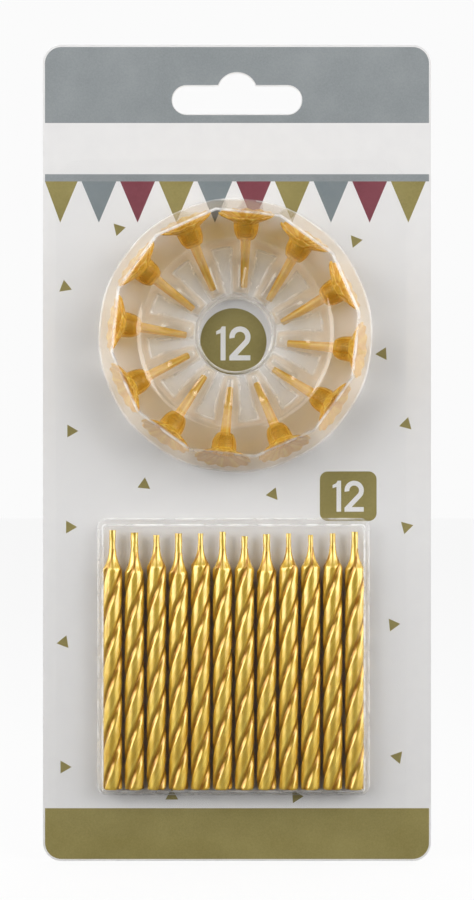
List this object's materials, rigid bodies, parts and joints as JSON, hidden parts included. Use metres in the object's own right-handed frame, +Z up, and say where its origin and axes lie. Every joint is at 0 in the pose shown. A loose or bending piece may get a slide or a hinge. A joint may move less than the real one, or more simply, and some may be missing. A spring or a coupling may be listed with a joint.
{
  "type": "spiral birthday candle pack",
  "caption": "Hang card with a clear formed blister that holds a row of gold spiral birthday candles and a ring of amber drip tray holders with spikes.",
  "frame": {"origin": "top of the hang slot's rounded rise, on the card's back face, where a display peg carries the pack", "axes": "+Z up the card, +X to the viewer's right, -Y out of the card's printed front"},
  "size_m": [0.097, 0.0154, 0.204],
  "materials": {
    "card": "printed gloss board",
    "clear_sheet": "clear thermoformed sheet",
    "gold_wax": "wax with a metallic gold lacquer",
    "gold_wick": "cotton wick under the same gold lacquer",
    "amber_plastic": "translucent pearly amber moulding"
  },
  "bodies": {
    "pack": {"backing_card": "card", "blister": "clear_sheet"},
    "candle_01": {"candle_01_wax": "gold_wax", "candle_01_wick": "gold_wick"},
    "candle_02": {"candle_02_wax": "gold_wax", "candle_02_wick": "gold_wick"},
    "candle_03": {"candle_03_wax": "gold_wax", "candle_03_wick": "gold_wick"},
    "candle_04": {"candle_04_wax": "gold_wax", "candle_04_wick": "gold_wick"},
    "candle_05": {"candle_05_wax": "gold_wax", "candle_05_wick": "gold_wick"},
    "candle_06": {"candle_06_wax": "gold_wax", "candle_06_wick": "gold_wick"},
    "candle_07": {"candle_07_wax": "gold_wax", "candle_07_wick": "gold_wick"},
    "candle_08": {"candle_08_wax": "gold_wax", "candle_08_wick": "gold_wick"},
    "candle_09": {"candle_09_wax": "gold_wax", "candle_09_wick": "gold_wick"},
    "candle_10": {"candle_10_wax": "gold_wax", "candle_10_wick": "gold_wick"},
    "candle_11": {"candle_11_wax": "gold_wax", "candle_11_wick": "gold_wick"},
    "candle_12": {"candle_12_wax": "gold_wax", "candle_12_wick": "gold_wick"},
    "holder_01": {"holder_01": "amber_plastic"},
    "holder_02": {"holder_02": "amber_plastic"},
    "holder_03": {"holder_03": "amber_plastic"},
    "holder_04": {"holder_04": "amber_plastic"},
    "holder_05": {"holder_05": "amber_plastic"},
    "holder_06": {"holder_06": "amber_plastic"},
    "holder_07": {"holder_07": "amber_plastic"},
    "holder_08": {"holder_08": "amber_plastic"},
    "holder_09": {"holder_09": "amber_plastic"},
    "holder_10": {"holder_10": "amber_plastic"},
    "holder_11": {"holder_11": "amber_plastic"},
    "holder_12": {"holder_12": "amber_plastic"}
  },
  "joints": [
    {"name": "candle_01_slide", "type": "slide", "parent": "pack", "child": "candle_01", "axis": [0, 0, 1], "range_m": [0, 0.0013]},
    {"name": "candle_02_slide", "type": "slide", "parent": "pack", "child": "candle_02", "axis": [0, 0, 1], "range_m": [0, 0.0019]},
    {"name": "candle_03_slide", "type": "slide", "parent": "pack", "child": "candle_03", "axis": [0, 0, 1], "range_m": [0, 0.0025]},
    {"name": "candle_04_slide", "type": "slide", "parent": "pack", "child": "candle_04", "axis": [0, 0, 1], "range_m": [0, 0.0021]},
    {"name": "candle_05_slide", "type": "slide", "parent": "pack", "child": "candle_05", "axis": [0, 0, 1], "range_m": [0, 0.0021]},
    {"name": "candle_06_slide", "type": "slide", "parent": "pack", "child": "candle_06", "axis": [0, 0, 1], "range_m": [0, 0.0017]},
    {"name": "candle_07_slide", "type": "slide", "parent": "pack", "child": "candle_07", "axis": [0, 0, 1], "range_m": [0, 0.0028]},
    {"name": "candle_08_slide", "type": "slide", "parent": "pack", "child": "candle_08", "axis": [0, 0, 1], "range_m": [0, 0.0023]},
    {"name": "candle_09_slide", "type": "slide", "parent": "pack", "child": "candle_09", "axis": [0, 0, 1], "range_m": [0, 0.0021]},
    {"name": "candle_10_slide", "type": "slide", "parent": "pack", "child": "candle_10", "axis": [0, 0, 1], "range_m": [0, 0.0025]},
    {"name": "candle_11_slide", "type": "slide", "parent": "pack", "child": "candle_11", "axis": [0, 0, 1], "range_m": [0, 0.0021]},
    {"name": "candle_12_slide", "type": "slide", "parent": "pack", "child": "candle_12", "axis": [0, 0, 1], "range_m": [0, 0.0017]},
    {"name": "holder_01_slide", "type": "slide", "parent": "pack", "child": "holder_01", "axis": [0.0349, 0, 0.9994], "range_m": [0, 0.0006]},
    {"name": "holder_02_slide", "type": "slide", "parent": "pack", "child": "holder_02", "axis": [0.5, 0, 0.866], "range_m": [0, 0.0006]},
    {"name": "holder_03_slide", "type": "slide", "parent": "pack", "child": "holder_03", "axis": [0.866, 0, 0.5], "range_m": [0, 0.0006]},
    {"name": "holder_04_slide", "type": "slide", "parent": "pack", "child": "holder_04", "axis": [0.9945, 0, -0.1045], "range_m": [-0.0006, 0]},
    {"name": "holder_05_slide", "type": "slide", "parent": "pack", "child": "holder_05", "axis": [0.848, 0, -0.5299], "range_m": [-0.0006, 0]},
    {"name": "holder_06_slide", "type": "slide", "parent": "pack", "child": "holder_06", "axis": [0.3907, 0, -0.9205], "range_m": [-0.0006, 0]},
    {"name": "holder_07_slide", "type": "slide", "parent": "pack", "child": "holder_07", "axis": [-0.1045, 0, -0.9945], "range_m": [-0.0006, 0]},
    {"name": "holder_08_slide", "type": "slide", "parent": "pack", "child": "holder_08", "axis": [-0.5446, 0, -0.8387], "range_m": [-0.0006, 0]},
    {"name": "holder_09_slide", "type": "slide", "parent": "pack", "child": "holder_09", "axis": [-0.8829, 0, -0.4695], "range_m": [-0.0006, 0]},
    {"name": "holder_10_slide", "type": "slide", "parent": "pack", "child": "holder_10", "axis": [-0.9877, 0, 0.1564], "range_m": [0, 0.0006]},
    {"name": "holder_11_slide", "type": "slide", "parent": "pack", "child": "holder_11", "axis": [-0.788, 0, 0.6157], "range_m": [0, 0.0006]},
    {"name": "holder_12_slide", "type": "slide", "parent": "pack", "child": "holder_12", "axis": [-0.3907, 0, 0.9205], "range_m": [0, 0.0006]}
  ]
}
